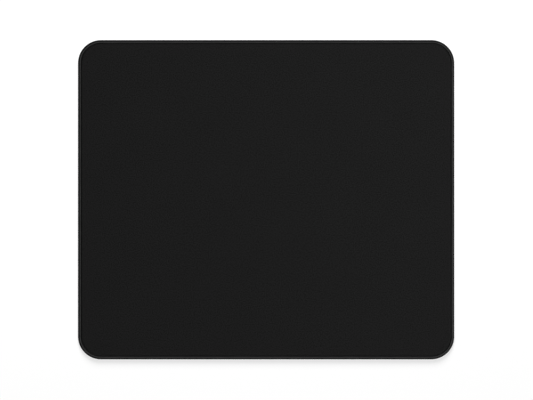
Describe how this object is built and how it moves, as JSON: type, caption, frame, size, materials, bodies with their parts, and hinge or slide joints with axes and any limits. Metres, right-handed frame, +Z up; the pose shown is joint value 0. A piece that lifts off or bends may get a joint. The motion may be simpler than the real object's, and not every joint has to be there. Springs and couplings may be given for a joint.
{
  "type": "mouse pad",
  "caption": "Flat black mouse pad with rounded corners: woven cloth bonded to a foam rubber base, its edge wrapped by an overlock seam. A mouse glides on the cloth; the rubber grips the desk.",
  "frame": {"origin": "middle of the pad's underside, on the desk", "axes": "+X to the right along the pad's longer sides, +Y away from the user, +Z up out of the cloth that the mouse glides on"},
  "size_m": [0.33, 0.28, 0.003],
  "materials": {
    "foam_rubber": "matte",
    "adhesive": "satin",
    "cloth": null,
    "thread": "satin"
  },
  "bodies": {
    "root": {"rubber_base": "foam_rubber", "adhesive_film": "adhesive", "cloth_top": "cloth", "needle_thread": "thread", "upper_looper_thread": "thread", "lower_looper_thread": "thread"}
  },
  "joints": []
}
